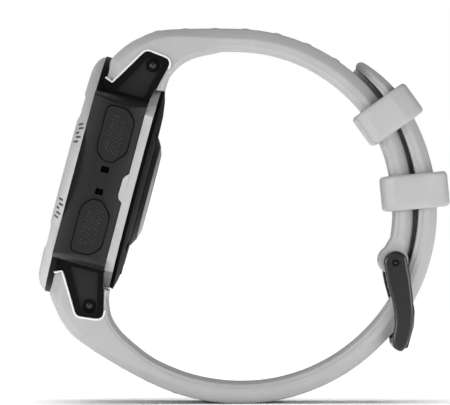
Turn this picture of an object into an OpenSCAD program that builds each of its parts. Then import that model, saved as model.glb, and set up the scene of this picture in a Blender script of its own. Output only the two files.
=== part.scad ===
// GPS running watch, buckled in a closed loop.
// Row frame: +Z up, X across the loop, Y along the wrist hole, origin in the middle of the loop.
// The face of the watch looks towards -X and leans back by case_tilt.

/* [Case] */
// Radius of the bezel
bezel_r = 19.95; // [19.6:0.05:20.05]
// Radius of the housing below its rim
housing_r = 19.2; // [19:0.05:19.2]
// Half width of the housing across its flat button sides
side_y = 19; // [18.8:0.1:19.1]
// Lean of the case from upright, in degrees
case_tilt = 14.8; // [14.8]
// Radius of the clear lens
lens_r = 15; // [14.8:0.05:15]
// Radius of the display panel
panel_r = 12.2; // [11:0.1:12.2]
// Radius of the optical sensor window
sensor_r = 9.2; // [8:0.1:9.2]

/* [Buttons] */
// Travel of a button cap
button_travel = 0.6; // [0.3:0.05:0.6]
// How far a button cap stands out of the housing
button_proud = 0.7; // [0.6:0.05:0.8]
// Length of the two caps on the 3 o'clock side
near_len = 8.9; // [8:0.1:9]
// Length of the three caps on the 9 o'clock side
far_len = 6.2; // [5.5:0.1:6.4]
// Height of every cap
cap_h = 4.8; // [4.2:0.1:4.8]

/* [Strap] */
// Width of the strap at the laps
strap_w = 19.6; // [18.6:0.1:19.6]
// Width of the strap at its shoulders beside the lugs
shoulder_w = 25.4; // [24.6:0.1:25.6]
// Distance between two adjusting holes
hole_pitch = 5; // [4.6:0.1:5.2]
// Length of an adjusting hole along the strap
hole_len = 3.6; // [3.6:0.1:3.8]
// Width of an adjusting hole
hole_w = 2.4; // [2.4:0.1:3]

/* [Buckle] */
// Inner width of the buckle frame
frame_inner_w = 20.6; // [20.4:0.1:20.8]
// Thickness of each buckle arm
arm_t = 1.7; // [1.4:0.1:1.8]
// Radius of the buckle pin
pin_r = 0.6; // [0.5:0.05:0.6]
// Length of each keeper along the strap
keeper_len = 5.8; // [5:0.1:5.8]

/* [Hidden] */
$fn = 96;

gap = 0.1;
eps = 0.01;

// Heights in the case, measured from the case centre towards the eye
rim_top = 4;
rim_low = 3.1;
rim_r = 20.05;
housing_low = -4.8;
rear_low = -6.15;
cavity_r = 15.6;
board_low = 1.6;
board_top = 2.2;
rear_hole_r = 12.6;
rear_r = 16.9;
rear_plan = [
    [-14, 0], [-14.1, 12.9], [-13.9, 15.4], [-13.3, 17.2], [-12.1, side_y - 0.4],
    [12.1, side_y - 0.4], [13.3, 17.2], [13.9, 15.4], [14.1, 12.9], [14, 0]
];
// How far the flat button side falls back at each height
side_crown = [
    [0.6, 6], [0.6, rim_top], [0.4, 3.2], [0.2, 2.2], [0.08, 1.2], [0, 0], [0, -2], [0.1, -3],
    [0.3, -3.9], [0.6, housing_low], [0.6, -6]
];
button_z = -1.05;
// Height of the two small ports and their distance from the middle
port_z = -0.8;
port_x = 1.85;
// Middle of the small round display
sub_at = [6, -6];
// Where a button's stem ends, and the outer face of its clip, from the middle of the case
stem_y = 11;
clip_y = 12;

// Lugs and their screws
lug_in = 9.9;
lug_out = 12.9;
lug_pin = [20.32, -3.9];
lug_shape = [
    [13, 3.1], [16.07, 3.1], [15.47, 1.75], [22.3, -2.35], [21.8, -6.5], [14.17, -4.7], [13, -4.7]
];
lug_round = [0, 0, 0.2, 0.6, 1.3, 0.2, 0];
lug_pocket = [[14.8, 0.9], [21.35, -2.85], [21, -5.35], [14.8, -3.95]];
lug_clear = [
    [11, 4.5], [16.4, 3.25], [15.75, 1.77], [22.45, -2.25], [21.95, -6.7], [14.2, -4.87], [11, -4.87]
];

// Straps as chains of arcs along the outer face. A start is [x, z, heading] and a
// piece is [radius, sweep, thickness at its start, thickness at its end].
upper_start = [-17.08, 29.07, 30.5];
upper_chain = [
    [10, 27.5, 3.5, 3.5], [150, 4.5, 3.5, 3.4], [30.2, 41.6, 3.4, 3.35],
    [26.7, 38, 3.35, 3.1], [48, 7.2, 3.1, 3], [28, 18, 3, 3.1]
];
lower_start = [-30.48, 16.13, 66.5];
lower_chain = [
    [11.2, 31.8, 3.5, 3.5], [88, 8.4, 3.5, 3.3], [33.9, 30.1, 3.3, 3.3], [32.2, 53.4, 3.3, 3.3],
    [31.4, 44.6, 3.3, 3], [34, 19.4, 3, 2.7], [21.3, 13.8, 2.7, 2.1], [26, 13, 2.1, 1.6]
];
arc_step = 4;
// Half outline of a strap from above: full width at the lugs, then a taper to the laps
taper_start = -17;
taper_end = 6;
upper_root = [
    [-21.3, 21.2], [-22.54, 22.1], [-22.05, 23.75], [-21.9, 25.4], [-20.9, 26.45],
    [-19.6, 27.6], [-18.1, 28.6], [-17.08, 29.02], [-3, 29.6], [-3, 27],
    [-5.2, 26.85], [-7.3, 26.45], [-8.9, 25.9], [-10.6, 24.9], [-12.2, 23.2], [-12.8, 21.8],
    [-13.2, 20.4]
];
// Where the upper strap swells into its knuckle at the buckle
knuckle_neck = [[24.5, -3.6], [26.6, -3.6], [26.6, -7.4], [22.5, -6.6], [23.4, -5.5]];
lower_root = [
    [-29.2, 8.6], [-30.8, 8.7], [-31.04, 9.75], [-31.45, 11.4], [-31.85, 12.6],
    [-31.5, 13.85], [-30.45, 16.13], [-28, 20], [-24.5, 22.5], [-10.6, 27.5], [-10.6, 25.9],
    [-13, 24.9], [-15.3, 23.7], [-17.35, 22.2], [-20.35, 19.55], [-22.06, 16.9], [-22.5, 14.2],
    [-22.3, 12.4]
];
tongue_hole_at = 68.9;
holes_before = 5;
holes_after = 6;

// Buckle, in the plane across the wrist, from the pin
pin_at = [24.84, -7.79];
knuckle_at = [-0.2, 0.35];
knuckle_r = 2.35;
arm_shape = [
    [-1.8, -0.6], [-1.35, -3.5], [-0.65, -6], [-0.25, -8], [-0.15, -10], [-0.55, -12.3],
    [-0.5, -13.3], [0.05, -14.2], [0.65, -14.5], [1.15, -14.4], [1.75, -13.7], [2.45, -12],
    [2.75, -10.6], [2.95, -9], [2.95, -7.3], [2.75, -5], [2.35, -2], [1.9, -0.2]
];
crossbar_at = [0.35, -13.35];
crossbar_r = 0.85;
tongue_w = 1.8;
tongue_shape = [
    [-0.8, -0.6], [-0.6, -3.8], [-0.05, -5.5], [2.2, -7.15], [2.5, -8.3], [2.3, -10.4],
    [1.45, -13.8], [1.75, -14.3], [2.3, -14.1], [3.25, -10.6], [3.42, -8.3], [3.3, -7.2],
    [2.75, -6.05], [0.75, -4.6], [0.4, -3.4], [0.8, -0.6]
];

// Keepers turn about the centre of the outer lap
keeper_centre = [2.61, 1.45];
keeper_top = 29.6;
keeper_inner_w = 20.3;
keeper_side_t = 1.5;
keeper_out_t = 1.5;
keeper_in_t = 1.1;

// Placing

module case_frame() {
    translate([-23.87, 0, 5.86]) rotate([0, case_tilt - 90, 0]) children();
}

// An outline with each corner rounded off by a length r, one for all or one a corner
function rounded(points, r, steps = 5) = [
    for (i = [0 : len(points) - 1])
        let (
            b = points[i],
            a = points[(i + len(points) - 1) % len(points)],
            c = points[(i + 1) % len(points)],
            cut = is_list(r) ? r[i] : r,
            p = b + (a - b) / norm(a - b) * cut,
            q = b + (c - b) / norm(c - b) * cut
        )
        if (cut == 0) b
        else for (k = [0 : steps]) let (t = k / steps) p * (1 - t) * (1 - t) + 2 * b * t * (1 - t) + q * t * t
];

// Puts a flat outline of (x, height) upright across the case and gives it a thickness in Y
module upright(y0, y1) {
    translate([0, y1, 0]) rotate([90, 0, 0]) linear_extrude(y1 - y0) children();
}

// Puts a flat outline of (y, height) along the case
module lengthwise(x0, x1) {
    translate([x0, 0, 0]) rotate([90, 0, 90]) linear_extrude(x1 - x0) children();
}

module both_sides() {
    children();
    mirror([0, 1, 0]) children();
}

module both_ends() {
    children();
    mirror([1, 0, 0]) children();
}

module ring(r_out, r_in, z0, z1) {
    translate([0, 0, z0]) difference() {
        cylinder(r = r_out, h = z1 - z0);
        translate([0, 0, -1]) cylinder(r = r_in, h = z1 - z0 + 2);
    }
}

module disc(r, z0, z1) {
    translate([0, 0, z0]) cylinder(r = r, h = z1 - z0);
}

module block(x0, x1, y0, y1, z0, z1) {
    translate([x0, y0, z0]) cube([x1 - x0, y1 - y0, z1 - z0]);
}

module rod(x, z, r, y0, y1) {
    translate([x, y0, z]) rotate([-90, 0, 0]) cylinder(r = r, h = y1 - y0);
}

module at_screws() {
    for (a = [45, 135, 225, 315]) rotate([0, 0, a]) translate([13.6, 0, 0]) children();
}

// Case

module side_guard() {
    translate([0, 0, housing_low]) linear_extrude(rim_top - housing_low)
        polygon(rounded([
            [-14.1, 11], [-14, 16.2], [-13.2, side_y + 0.2], [13.2, side_y + 0.2], [14, 16.2],
            [14.1, 11]
        ], [0, 0.6, 1.4, 1.4, 0.6, 0]));
}

module housing_outer() {
    intersection() {
        union() {
            disc(housing_r, housing_low, rim_low + eps);
            disc(rim_r, rim_low, rim_top);
            both_sides() side_guard();
        }
        // Button sides that are a little fuller in the middle than at their edges
        lengthwise(-21, 21) polygon(concat(
            [for (p = side_crown) [side_y - p[0], p[1]]],
            [for (i = [len(side_crown) - 1 : -1 : 0]) [side_crown[i][0] - side_y, side_crown[i][1]]]
        ));
    }
}

module lug() {
    both_sides() difference() {
        upright(lug_in, lug_out) polygon(rounded(lug_shape, lug_round));
        upright(lug_out - 0.5, lug_out + 1) polygon(rounded(lug_pocket, 0.35));
    }
}

// Outline of a cap about its middle, with its narrow end towards -x
function cap_outline(len, h) = rounded([
    [-len / 2, h * 0.19], [-len / 2 + 1.5, h / 2], [len / 2, h / 2], [len / 2, -h * 0.17],
    [len / 2 - 1.6, -h / 2], [1.9 - len / 2, -h / 2], [-len / 2, -h * 0.11]
], [0.5, 0.9, 1, 0.8, 0.8, 0.8, 0.5]);

// The middle cap on the 9 o'clock side is narrow at both ends
function even_outline(len, h) = rounded([
    [-len / 2, h * 0.19], [1.3 - len / 2, h / 2], [len / 2 - 1.3, h / 2], [len / 2, h * 0.19],
    [len / 2, -h * 0.19], [len / 2 - 1.3, -h / 2], [1.3 - len / 2, -h / 2], [-len / 2, -h * 0.19]
], 0.5);

module cap_solid(x, len, h, y0, y1) {
    translate([x, 0, button_z]) mirror([x < 0 ? 1 : 0, 0, 0]) upright(y0, y1)
        polygon(x == 0 ? even_outline(len, h) : cap_outline(len, h));
}

module button_pocket(x, len) {
    cap_solid(x, len + 0.3, cap_h + 0.3, -21, -16.9);
    rod(x, button_z, 0.95, -17, -10);
}

module stem_boss(x) {
    rod(x, button_z, 1.6, -15.9, -clip_y - 0.05);
}

near_x = [7.75, -7.75];
far_x = [8.4, 0, -8.4];

module housing() {
    color("dimgray") case_frame() difference() {
        union() {
            difference() {
                union() {
                    housing_outer();
                    both_ends() lug();
                }
                disc(cavity_r, housing_low - 1, rim_top + 1);
                translate([0, 0, rim_top - eps]) cylinder(r = 17.5, h = 2);
            }
            for (x = near_x) stem_boss(x);
            for (x = far_x) mirror([0, 1, 0]) stem_boss(x);
            at_screws() disc(1.5, housing_low, -2.3);
            at_screws() block(0, 2.6, -1, 1, housing_low, -2.3);
        }
        for (x = near_x) button_pocket(x, near_len);
        for (x = far_x) mirror([0, 1, 0]) button_pocket(x, far_len);
        at_screws() disc(0.6, housing_low - 1, -2);
        for (x = [-port_x, port_x]) block(x - 0.5, x + 0.5, -20, -18, port_z - 0.65, port_z + 0.65);
        for (x = [-port_x, port_x]) rod(x, port_z, 0.3, -18.5, -14);
        both_ends() both_sides() {
            rod(lug_pin[0], lug_pin[1], 0.7, 9, 14);
            rod(lug_pin[0], lug_pin[1], 1.15, 11.6, 14);
        }
        // The housing's rear edge steps in where the rear frame's tab enters
        both_sides() upright(17.6, 20) polygon([
            [-3, -5], [-2.3, -4.1], [-1.6, -3.85], [1.1, -3.9], [1.7, -4.2], [2.4, -5]
        ]);
    }
}

module bezel() {
    color("silver") case_frame() difference() {
        rotate_extrude() polygon([
            [14.4, 5.05], [14.4, 5.2], [15.4, 5.6], [16.2, 5.72], [17.6, 5.66], [18.5, 5.4],
            [19.2, 5], [19.7, 4.5], [bezel_r, rim_top], [lens_r + gap, rim_top],
            [lens_r + gap, 5.05]
        ]);
        both_ends() upright(-21, 21) polygon(rounded([
            [7.2, 6], [9.4, 5.42], [12.6, 5.4], [13.6, 6]
        ], [0, 0.4, 0.4, 0]));
    }
}

module lens() {
    color("lightcyan") case_frame() disc(lens_r, 3.9, 4.9);
}

module lens_gasket() {
    color("black") case_frame() ring(lens_r, 14.5, 4.9, 5.05);
}

module display_panel() {
    color("darkseagreen") case_frame() difference() {
        disc(panel_r, 3, 3.85);
        translate(sub_at) disc(4.15, 2, 5);
    }
}

module dial_ring() {
    color("black") case_frame() difference() {
        ring(14.9, panel_r + 0.05, 3, 3.85);
        translate(sub_at) disc(4.15, 2, 5);
    }
}

module sub_display() {
    color("darkseagreen") case_frame() translate(sub_at) disc(3.4, 3, 3.85);
}

module sub_ring() {
    color("silver") case_frame() translate(sub_at) ring(4.1, 3.45, 3, 3.88);
}

module inner_frame() {
    color("dimgray") case_frame() difference() {
        disc(15.4, 2.45, 2.95);
        block(-3.2, 3.2, 11.2, 12.1, 2, 4);
    }
}

module antenna_ring() {
    color("goldenrod") case_frame() ring(15.5, 15.05, 3, 3.6);
}

module display_flex() {
    color("orange") case_frame() {
        block(-3, 3, 8, 11.8, board_top, board_top + 0.15);
        block(-3, 3, 11.65, 11.8, board_top, 3);
    }
}

module main_board() {
    color("darkgreen") case_frame() disc(14.8, board_low, board_top);
}

module board_parts() {
    color("gray") case_frame() {
        block(-5, 4, -5, 4, 0.5, board_low);
        block(5, 9, -3, 2, 0.7, board_low);
        block(-10, -6.5, -2, 3, 0.8, board_low);
        block(-2.5, 2.5, 5.2, 6.6, 0.9, board_low);
    }
}

module battery() {
    color("lightgray") case_frame() block(-10.5, 10.5, -7.6, 7.6, -4, 0.3);
}

module battery_pad() {
    color("black") case_frame() block(-8, 8, -6, 6, -4.6, -4);
}

module vibration_motor() {
    color("silver") case_frame() rod(-12.7, -2.2, 1.7, -4.5, 4.5);
}

module switch_at(x) {
    block(x - 1.8, x + 1.8, button_travel - stem_y + 0.1, -8, -2, board_low);
}

module side_switches() {
    color("silver") case_frame() {
        for (x = near_x) switch_at(x);
        for (x = far_x) mirror([0, 1, 0]) switch_at(x);
    }
}

module port_meshes() {
    color("gray") case_frame()
        for (x = [-port_x, port_x]) block(x - 0.48, x + 0.48, -18.2, -18, port_z - 0.6, port_z + 0.6);
}

module rear_frame() {
    color("silver") case_frame() difference() {
        union() {
            // It is round under the lugs and reaches out to the flat sides between them
            translate([0, 0, rear_low]) linear_extrude(housing_low - rear_low) difference() {
                union() {
                    circle(r = rear_r);
                    polygon(rear_plan);
                    mirror([0, 1]) polygon(rear_plan);
                }
                circle(r = rear_hole_r);
            }
            both_sides() upright(17.7, side_y - 0.3) polygon([
                [-2.8, -4.9], [-2.2, -4.15], [-1.55, -3.95], [1.05, -4], [1.6, -4.25], [2.25, -4.9]
            ]);
        }
        at_screws() disc(0.85, -7, -4);
        ring(15.5, 14.9, rear_low - 1, -5.65);
        block(-14.35, -10.65, -3.75, 3.75, -7, -4);
    }
}

module back_cover() {
    color("black") case_frame() difference() {
        rotate_extrude() polygon([
            [sensor_r + gap, -7.6], [13, -7.5], [15.2, -7.2], [rear_r, -6.75], [rear_r - 0.1, rear_low],
            [sensor_r + gap, rear_low]
        ]);
        at_screws() disc(0.85, -9, -6);
        at_screws() disc(1.3, -9, -6.7);
        block(-14.3, -10.7, -3.7, 3.7, -9, -6);
    }
}

module back_gasket() {
    color("dimgray") case_frame() ring(15.45, 14.95, rear_low, -5.65);
}

module back_screws() {
    color("silver") case_frame() at_screws() difference() {
        union() {
            disc(1.2, -7.25, -6.7);
            disc(0.55, -6.8, -2.6);
        }
        translate([0, 0, -7.3]) cylinder(r = 0.5, h = 0.4, $fn = 6);
    }
}

module sensor_window() {
    color("gray") case_frame() difference() {
        rotate_extrude() polygon([
            [0, -8.87], [6.6, -8.87], [7.9, -8.45], [sensor_r, -7.7], [sensor_r, -6.2], [0, -6.2]
        ]);
        disc(7.6, -8, -6);
    }
}

module sensor_board() {
    color("darkgreen") case_frame() disc(sensor_r, -6.2, -5.7);
}

module sensor_leds() {
    color("gold") case_frame() {
        for (a = [0, 120, 240]) rotate([0, 0, a]) translate([5, 0, -7.1]) cylinder(r = 0.9, h = 0.9);
        for (a = [60, 180, 300]) rotate([0, 0, a]) block(3.2, 5.8, -1.3, 1.3, -6.9, -6.2);
        disc(1.1, -7.1, -6.2);
    }
}

module charge_port() {
    color("dimgray") case_frame() difference() {
        block(-14.2, -10.8, -3.6, 3.6, -7.45, -5.7);
        block(-13.7, -11.3, -3.1, 3.1, -8, -6.6);
        for (y = [-1.95, -0.65, 0.65, 1.95]) translate([-12.5, y, 0]) disc(0.3, -8, -5);
    }
}

module charge_pins() {
    color("gold") case_frame()
        for (y = [-1.95, -0.65, 0.65, 1.95]) translate([-12.5, y, 0]) disc(0.28, -7.2, -5.3);
}

// Buttons: each cap has a stem, a seal and a clip, and looks towards -Y

module cap(x, len) {
    difference() {
        union() {
            cap_solid(x, len, cap_h, -side_y - button_proud, -17.65);
            rod(x, button_z, 0.9, -17.7, -stem_y);
        }
        // Grooves of the seal and of the clip
        rotate_about_stem(x) difference() {
            disc(1.2, 14.4, 15);
            disc(0.6, 14, 15.5);
        }
        rotate_about_stem(x) difference() {
            disc(1.2, clip_y - 0.4, clip_y);
            disc(0.55, clip_y - 1, clip_y + 1);
        }
    }
}

module rotate_about_stem(x) {
    translate([x, 0, button_z]) rotate([90, 0, 0]) children();
}

module seal(x) {
    rotate_about_stem(x) ring(0.93, 0.6, 14.4, 15);
}

module clip(x) {
    rotate_about_stem(x) ring(1.4, 0.55, clip_y - 0.4, clip_y);
}

module near_side() {
    case_frame() children();
}

module far_side() {
    case_frame() mirror([0, 1, 0]) children();
}

module button_a() { color("black") near_side() cap(near_x[0], near_len); }
module button_b() { color("black") near_side() cap(near_x[1], near_len); }
module button_c() { color("black") far_side() cap(far_x[0], far_len); }
module button_d() { color("black") far_side() cap(far_x[1], far_len); }
module button_e() { color("black") far_side() cap(far_x[2], far_len); }
module seal_a() { color("red") near_side() seal(near_x[0]); }
module seal_b() { color("red") near_side() seal(near_x[1]); }
module seal_c() { color("red") far_side() seal(far_x[0]); }
module seal_d() { color("red") far_side() seal(far_x[1]); }
module seal_e() { color("red") far_side() seal(far_x[2]); }
module clip_a() { color("silver") near_side() clip(near_x[0]); }
module clip_b() { color("silver") near_side() clip(near_x[1]); }
module clip_c() { color("silver") far_side() clip(far_x[0]); }
module clip_d() { color("silver") far_side() clip(far_x[1]); }
module clip_e() { color("silver") far_side() clip(far_x[2]); }

// Strap

module lug_sleeves() {
    color("silver") case_frame() both_ends() difference() {
        rod(lug_pin[0], lug_pin[1], 1, -9.8, 9.8);
        rod(lug_pin[0], lug_pin[1], 0.6, -10, 10);
    }
}

module lug_screws() {
    color("silver") case_frame() both_ends() both_sides() difference() {
        union() {
            rod(lug_pin[0], lug_pin[1], 0.55, 6, 12.2);
            rod(lug_pin[0], lug_pin[1], 1.05, 11.65, 12.25);
        }
        translate([lug_pin[0], 12, lug_pin[1]]) rotate([-90, 0, 0]) cylinder(r = 0.45, h = 1, $fn = 6);
    }
}

// Where a piece of a chain ends, as [x, z, heading]
function piece_end(start, r, sweep) = [
    start[0] + r * (sin(start[2]) - sin(start[2] - sweep)),
    start[1] + r * (cos(start[2] - sweep) - cos(start[2])),
    start[2] - sweep
];

// Points along a chain, as [x, z, heading, thickness]
function chain_points(start, pieces, i = 0) =
    let (p = pieces[i], n = ceil(p[1] / arc_step))
    concat(
        [for (k = [0 : n - 1]) concat(piece_end(start, p[0], p[1] * k / n), p[2] + (p[3] - p[2]) * k / n)],
        i < len(pieces) - 1
            ? chain_points(piece_end(start, p[0], p[1]), pieces, i + 1)
            : [concat(piece_end(start, p[0], p[1]), p[3])]
    );

function outer_face(points) = [for (p = points) [p[0], p[1]]];
function inner_face(points) = [
    for (i = [len(points) - 1 : -1 : 0])
        [points[i][0] + points[i][3] * sin(points[i][2]), points[i][1] - points[i][3] * cos(points[i][2])]
];

module chain(start, pieces) {
    points = chain_points(start, pieces);
    upright(-shoulder_w / 2, shoulder_w / 2) polygon(concat(outer_face(points), inner_face(points)));
}

// The outline of a strap from above, as wide as its shoulders and then its laps
module strap_plan() {
    translate([0, 0, -40]) linear_extrude(80) polygon([
        [-40, -shoulder_w / 2], [taper_start, -shoulder_w / 2], [taper_end, -strap_w / 2],
        [40, -strap_w / 2], [40, strap_w / 2], [taper_end, strap_w / 2],
        [taper_start, shoulder_w / 2], [-40, shoulder_w / 2]
    ]);
}

// Turns about the centre of an arc that lies below the outer face
module turned(r, a) {
    translate([0, 0, -r]) rotate([0, a, 0]) translate([0, 0, r]) children();
}

// Puts its child on the outer face at a length along a chain
module along(pieces, s, i = 0) {
    length = pieces[i][0] * pieces[i][1] * PI / 180;
    if (s <= length || i == len(pieces) - 1)
        turned(pieces[i][0], s / pieces[i][0] * 180 / PI) children();
    else
        turned(pieces[i][0], pieces[i][1]) along(pieces, s - length, i + 1) children();
}

function chain_length(pieces, i = 0) =
    i == len(pieces) ? 0 : pieces[i][0] * pieces[i][1] * PI / 180 + chain_length(pieces, i + 1);

module from_start(start) {
    translate([start[0], 0, start[1]]) rotate([0, -start[2], 0]) children();
}

// What the case and its lugs take out of a strap's root
module case_cut() {
    case_frame() {
        disc(rim_r + 0.2, 2.9, 9);
        disc(19.35, -4.9, 3);
        disc(rear_r + 0.4, -12, -4.8);
        both_ends() both_sides() upright(9.8, 15) polygon(lug_clear);
        both_ends() rod(lug_pin[0], lug_pin[1], 1.02, -10, 10);
    }
}

module upper_strap() {
    color("silver") difference() {
        intersection() {
            union() {
                upright(-shoulder_w / 2, shoulder_w / 2) polygon(upper_root);
                chain(upper_start, upper_chain);
                rod(pin_at[0] + knuckle_at[0], pin_at[1] + knuckle_at[1], knuckle_r, -12, 12);
                upright(-12, 12) polygon(knuckle_neck);
            }
            strap_plan();
        }
        case_cut();
        rod(pin_at[0], pin_at[1], pin_r + 0.05, -12, 12);
        translate([pin_at[0], 0, pin_at[1]]) block(-4, 4, -1.25, 1.25, -3, 3.1);
    }
}

module lower_strap() {
    color("silver") difference() {
        intersection() {
            mirror([0, 0, 1]) {
                upright(-shoulder_w / 2, shoulder_w / 2) polygon(lower_root);
                chain(lower_start, lower_chain);
            }
            strap_plan();
        }
        case_cut();
        mirror([0, 0, 1]) from_start(lower_start) {
            for (k = [-holes_before : holes_after])
                along(lower_chain, tongue_hole_at + k * hole_pitch) adjusting_hole();
            along(lower_chain, chain_length(lower_chain)) tip_cut();
        }
    }
}

// Rounds the tip of the strap
module tip_cut() {
    r = strap_w / 2;
    difference() {
        block(-r, 2, -r - 1, r + 1, -6, 4);
        translate([-r, 0, -7]) cylinder(r = r, h = 12);
    }
}

module adjusting_hole() {
    run = (hole_len - hole_w) / 2;
    for (x = [-run, run]) translate([x, 0, -5]) cylinder(r = hole_w / 2, h = 7, $fn = 48);
    block(-run, run, -hole_w / 2, hole_w / 2, -5, 2);
}

// Buckle

module at_pin() {
    translate([pin_at[0], 0, pin_at[1]]) children();
}

module buckle_frame() {
    color("dimgray") at_pin() difference() {
        union() {
            both_sides() {
                upright(frame_inner_w / 2, frame_inner_w / 2 + arm_t) polygon(arm_shape);
                rod(0, 0, 1.95, frame_inner_w / 2, frame_inner_w / 2 + arm_t);
            }
            rod(crossbar_at[0], crossbar_at[1], crossbar_r, -frame_inner_w / 2 - 0.1,
                frame_inner_w / 2 + 0.1);
        }
        rod(0, 0, pin_r, -15, 15);
    }
}

module buckle_pin() {
    color("silver") at_pin() rod(0, 0, pin_r, -frame_inner_w / 2 - arm_t + 0.1,
        frame_inner_w / 2 + arm_t - 0.1);
}

module buckle_tongue() {
    color("silver") at_pin() difference() {
        union() {
            upright(-tongue_w / 2, tongue_w / 2) polygon(rounded(tongue_shape, 0.25, 3));
            rod(0, 0, 1.3, -tongue_w / 2, tongue_w / 2);
        }
        rod(0, 0, pin_r + 0.05, -5, 5);
    }
}

// A keeper, with its walls square to the radius that passes through it
module keeper(angle, inner_face) {
    half = keeper_inner_w / 2;
    side = half + keeper_side_t;
    low = inner_face - keeper_in_t;
    high = keeper_top + keeper_out_t;
    translate([keeper_centre[0], 0, keeper_centre[1]]) rotate([0, 90 - angle, 0])
        lengthwise(-keeper_len / 2, keeper_len / 2) difference() {
            polygon(rounded(
                [[-side, low], [side, low], [side, high], [-side, high]], [1.7, 1.7, 2.6, 2.6], 8
            ));
            polygon([[-half, inner_face], [half, inner_face], [half, keeper_top], [-half, keeper_top]]);
        }
}

module keeper_1() { color("lightgray") keeper(35.5, 22.1); }
module keeper_2() { color("lightgray") keeper(5.5, 21.45); }

housing();
bezel();
lens();
lens_gasket();
display_panel();
dial_ring();
sub_display();
sub_ring();
inner_frame();
antenna_ring();
display_flex();
main_board();
board_parts();
battery();
battery_pad();
vibration_motor();
side_switches();
port_meshes();
rear_frame();
back_cover();
back_gasket();
back_screws();
sensor_window();
sensor_board();
sensor_leds();
charge_port();
charge_pins();
button_a();
button_b();
button_c();
button_d();
button_e();
seal_a();
seal_b();
seal_c();
seal_d();
seal_e();
clip_a();
clip_b();
clip_c();
clip_d();
clip_e();
lug_sleeves();
lug_screws();
upper_strap();
lower_strap();
buckle_frame();
buckle_pin();
buckle_tongue();
keeper_1();
keeper_2();
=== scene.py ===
import math

import bmesh
import bpy
from mathutils import Matrix, Vector


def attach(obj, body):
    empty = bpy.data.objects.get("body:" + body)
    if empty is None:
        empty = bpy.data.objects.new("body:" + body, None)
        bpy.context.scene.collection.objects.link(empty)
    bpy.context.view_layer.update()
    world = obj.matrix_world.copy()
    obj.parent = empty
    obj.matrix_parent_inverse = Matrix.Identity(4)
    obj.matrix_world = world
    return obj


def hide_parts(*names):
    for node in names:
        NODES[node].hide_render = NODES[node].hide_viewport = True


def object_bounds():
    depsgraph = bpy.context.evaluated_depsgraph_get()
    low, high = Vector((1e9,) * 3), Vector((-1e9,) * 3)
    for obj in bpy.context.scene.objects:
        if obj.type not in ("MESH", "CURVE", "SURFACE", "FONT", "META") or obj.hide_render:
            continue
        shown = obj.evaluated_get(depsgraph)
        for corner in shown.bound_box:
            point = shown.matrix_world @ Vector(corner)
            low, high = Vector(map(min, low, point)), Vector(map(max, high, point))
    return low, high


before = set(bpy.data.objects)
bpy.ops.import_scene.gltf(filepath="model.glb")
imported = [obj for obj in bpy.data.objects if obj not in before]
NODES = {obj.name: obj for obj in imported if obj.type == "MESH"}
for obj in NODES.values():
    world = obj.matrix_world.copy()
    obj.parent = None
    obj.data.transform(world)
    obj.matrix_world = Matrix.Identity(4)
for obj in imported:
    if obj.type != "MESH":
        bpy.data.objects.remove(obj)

# All lengths are in millimetres and all angles in degrees until new_object() turns them
# into metres. Row frame: +Z up, X across the loop, Y along the wrist hole. The case frame
# has x towards 12 o'clock, z out of the display and y towards 9 o'clock.

MM = 0.001
CAD_BOX = [list(corner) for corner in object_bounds()]

# Case, as in the CAD, in the case frame
CASE_AT = (-23.87, 0, 5.86)
CASE_TILT = 14.8
CASE = (Matrix.Translation(Vector(CASE_AT) * MM)
        @ Matrix.Rotation(math.radians(CASE_TILT - 90), 4, "Y"))
BEZEL_R = 19.95
SUB_AT = (6.0, -6.0)
RIM_TOP = 4.0
DIAL_TOP = 3.85
INK_LEVELS = (DIAL_TOP + 0.005, DIAL_TOP + 0.03)
REAR_Z = -4.87
BUTTON_Z = -1.05
BUTTON_FACE = 19.7
NEAR_X = (7.75, -7.75)
FAR_X = (8.4, 0.0, -8.4)
WELD = 0.002

# Room that the case leaves in a strap's root: radii round the rim, the wall and the cover
RIM_ROOM_R = 20.25
WALL_ROOM_R = 19.4
COVER_ROOM_R = 17.33

# Faces of CAD parts with another finish
LUG_FROM_X = 14.3
RIM_RING = (19.6, 20.4)
RIM_FROM_Z = 3
DOME_EDGE_RING = (6.7, 8.1)
CONE_BELOW_Z = -7

# Grips on the button caps, made of small diamonds
NEAR_GRIP_LEN = 6.4
FAR_GRIP_LEN = 3.6
GRIP_HALF_W = 1.6
STUD_PITCH = 0.66
STUD_HALF = 0.29
STUD_FOOT = -0.03
STUD_TOP = 0.17

# Display and dial. A number is its text, its middle to the right and up, the width and height
# of a digit, and the width of its bars.
HOUR = ("10", -3.4, -0.6, 2.7, 5.6, 0.85)
MINUTE = ("28", 4.6, -0.6, 2.7, 5.6, 0.85)
DATE = ("24", -4.6, 6.9, 1.2, 2.4, 0.4)
GAUGE = ("68", 0, 0, 1.0, 2.0, 0.36)
GAUGE_TICK = (2.5, 3.05, 0.13)
TICK = (13.5, 14.4, 0.09)
WIDE_TICK = (12.85, 14.4, 0.2)
TICKS_OFF_SUB = 4.6

# Signs on the bezel: where each is along the case, and its number of strokes
SHOULDER = ((18.5, 5.4), (19.2, 5), (19.7, 4.5), (BEZEL_R, RIM_TOP))
SIGN_Y = 17.7
NEAR_SIGNS = ((6.4, 5), (-5.9, 5))
FAR_SIGNS = ((7.2, 4), (0, 3), (-7.2, 4))
STROKES = ((0.1, 0.6), (0.25, 0.75), (0.1, 0.45), (0.3, 0.8), (0.15, 0.65))
STROKE_TURN = 2.3
STROKE_HALF = 0.5

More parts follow.
